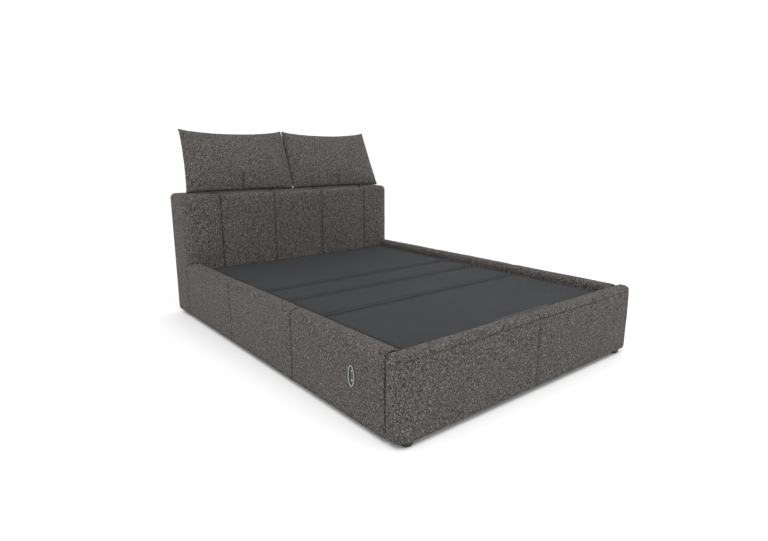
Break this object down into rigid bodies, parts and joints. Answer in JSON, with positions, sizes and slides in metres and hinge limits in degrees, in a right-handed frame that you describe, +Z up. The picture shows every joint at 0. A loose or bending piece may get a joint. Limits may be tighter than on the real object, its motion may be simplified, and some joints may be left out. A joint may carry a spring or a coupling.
{
  "type": "adjustable bed base",
  "caption": "Electric adjustable bed base in a boucle upholstered surround, with a channelled headboard and two tilting headrest cushions.",
  "frame": {"origin": "on the floor under the centre of the bed", "axes": "+X across the bed to the right seen from the foot end, +Y from the footboard to the headboard, +Z up"},
  "size_m": [1.72, 2.42, 1.2672],
  "materials": {
    "upholstery": "matte",
    "deck_cloth": "matte",
    "lining": "matte",
    "timber": "matte",
    "plywood": "matte",
    "frame_steel": "satin",
    "zinc_steel": "satin",
    "aluminium": "satin",
    "black_plastic": "matte",
    "nylon": "satin",
    "rubber": "matte",
    "felt": "matte",
    "bright_trim": "polished",
    "button_grey": "satin",
    "cable": "satin"
  },
  "bodies": {
    "base": {"bracket_bolts": "zinc_steel", "brackets": "zinc_steel", "buffers": "rubber", "cables": "cable", "control_box": "black_plastic", "drive_motors": "black_plastic", "drive_screws": "zinc_steel", "drive_tracks": "aluminium", "feet": "black_plastic", "foot_glides": "felt", "footboard_board": "timber", "footboard_cover": "upholstery", "frame_tubes": "frame_steel", "headboard_back_panel": "lining", "headboard_cover": "upholstery", "headboard_end_boards": "timber", "headboard_front_board": "timber", "headboard_rails": "timber", "headboard_top_board": "timber", "leg_glides": "rubber", "mains_inlet": "black_plastic", "power_supply": "black_plastic", "rail_board_left": "timber", "rail_board_right": "timber", "rail_cover_left": "upholstery", "rail_cover_right": "upholstery", "ratchet_pins": "zinc_steel", "ratchet_plates": "zinc_steel", "seat_board": "plywood", "seat_cover": "deck_cloth", "seat_hinge_pins": "zinc_steel", "seat_supports": "frame_steel", "support_legs": "frame_steel", "switch_bezel": "bright_trim", "switch_housing": "black_plastic"},
    "back_section": {"back_board": "plywood", "back_cover": "deck_cloth", "back_frame": "frame_steel", "back_drive_pin": "zinc_steel"},
    "thigh_section": {"thigh_board": "plywood", "thigh_cover": "deck_cloth", "thigh_frame": "frame_steel", "thigh_drive_pin": "zinc_steel", "knee_pins": "zinc_steel"},
    "leg_section": {"leg_board": "plywood", "leg_cover": "deck_cloth", "leg_frame": "frame_steel", "mattress_stop": "frame_steel"},
    "left_roller": {"roller_left": "nylon"},
    "right_roller": {"roller_right": "nylon"},
    "back_slider": {"back_carriage": "nylon"},
    "thigh_slider": {"thigh_carriage": "nylon"},
    "left_headrest": {"cushion_left": "upholstery", "headrest_board_left": "plywood", "headrest_arms_left": "zinc_steel"},
    "right_headrest": {"cushion_right": "upholstery", "headrest_board_right": "plywood", "headrest_arms_right": "zinc_steel"},
    "up_button": {"button_up": "button_grey"},
    "down_button": {"button_down": "button_grey"}
  },
  "joints": [
    {"name": "back_lift", "type": "hinge", "parent": "base", "child": "back_section", "pos_m": [0, 0.1115, 0.334], "axis": [1, 0, 0], "range_deg": [0, 60]},
    {"name": "back_drive", "type": "slide", "parent": "base", "child": "back_slider", "axis": [0, 1, 0], "range_m": [0, 0.1301]},
    {"name": "thigh_lift", "type": "hinge", "parent": "base", "child": "thigh_section", "pos_m": [0, -0.1435, 0.334], "axis": [-1, 0, 0], "range_deg": [0, 35]},
    {"name": "thigh_drive", "type": "slide", "parent": "base", "child": "thigh_slider", "axis": [0, -1, 0], "range_m": [0, 0.0783]},
    {"name": "knee_fold", "type": "hinge", "parent": "thigh_section", "child": "leg_section", "pos_m": [0, -0.4885, 0.2875], "axis": [1, 0, 0], "range_deg": [0, 58.7]},
    {"name": "left_roller_spin", "type": "hinge", "parent": "leg_section", "child": "left_roller", "pos_m": [-0.649, -1.0085, 0.2615], "axis": [1, 0, 0], "continuous": true},
    {"name": "right_roller_spin", "type": "hinge", "parent": "leg_section", "child": "right_roller", "pos_m": [0.649, -1.0085, 0.2615], "axis": [1, 0, 0], "continuous": true},
    {"name": "left_headrest_tilt", "type": "hinge", "parent": "base", "child": "left_headrest", "pos_m": [-0.4, 1.04, 0.862], "axis": [1, 0, 0], "range_deg": [0, 35]},
    {"name": "right_headrest_tilt", "type": "hinge", "parent": "base", "child": "right_headrest", "pos_m": [0.4, 1.04, 0.862], "axis": [1, 0, 0], "range_deg": [0, 35]},
    {"name": "up_press", "type": "slide", "parent": "base", "child": "up_button", "axis": [1, 0, 0], "range_m": [0, 0.002], "stiffness_N_per_m": 400, "springref_m": -0.001},
    {"name": "down_press", "type": "slide", "parent": "base", "child": "down_button", "axis": [1, 0, 0], "range_m": [0, 0.002], "stiffness_N_per_m": 400, "springref_m": -0.001}
  ],
  "couplings": [
    {"joint": "back_drive", "follows": "back_lift", "m_per_rad": 0.12414},
    {"joint": "thigh_drive", "follows": "thigh_lift", "m_per_rad": 0.12799},
    {"joint": "knee_fold", "follows": "thigh_lift", "ratio": 1.674}
  ]
}
